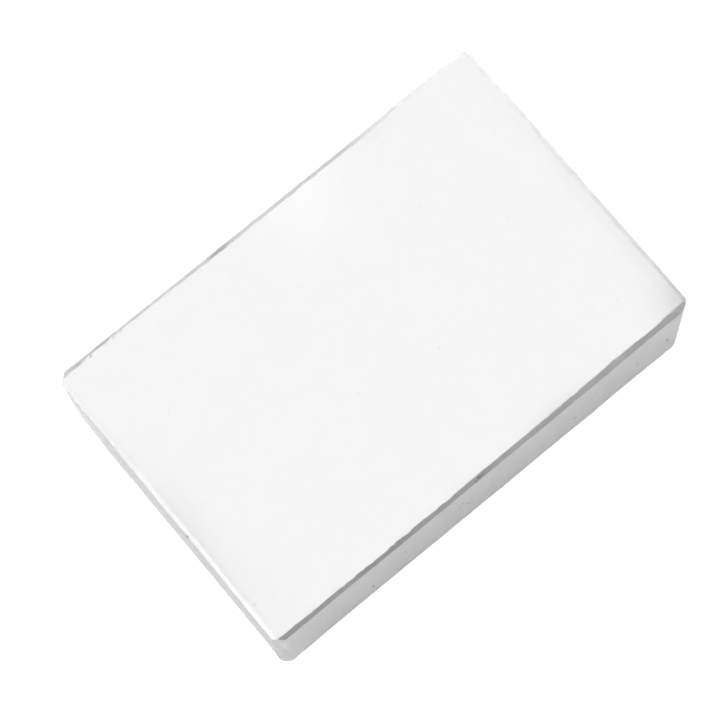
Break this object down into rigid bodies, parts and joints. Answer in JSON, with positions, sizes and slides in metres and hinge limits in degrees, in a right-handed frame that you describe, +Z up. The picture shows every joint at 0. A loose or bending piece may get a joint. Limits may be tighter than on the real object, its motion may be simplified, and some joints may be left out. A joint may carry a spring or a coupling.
{
  "type": "gymnastics chalk block",
  "caption": "Rectangular block of pressed white magnesium carbonate chalk for gymnasts' hands, flat on every side, with chamfered edges and flat-cut upright corners.",
  "frame": {"origin": "centre of the underside, the large face the block rests on", "axes": "+X along the length, +Y across the width, +Z up through the upper face"},
  "size_m": [0.105, 0.069, 0.031],
  "materials": {
    "chalk": "matte, powdery"
  },
  "bodies": {
    "root": {"chalk_block": "chalk"}
  },
  "joints": []
}
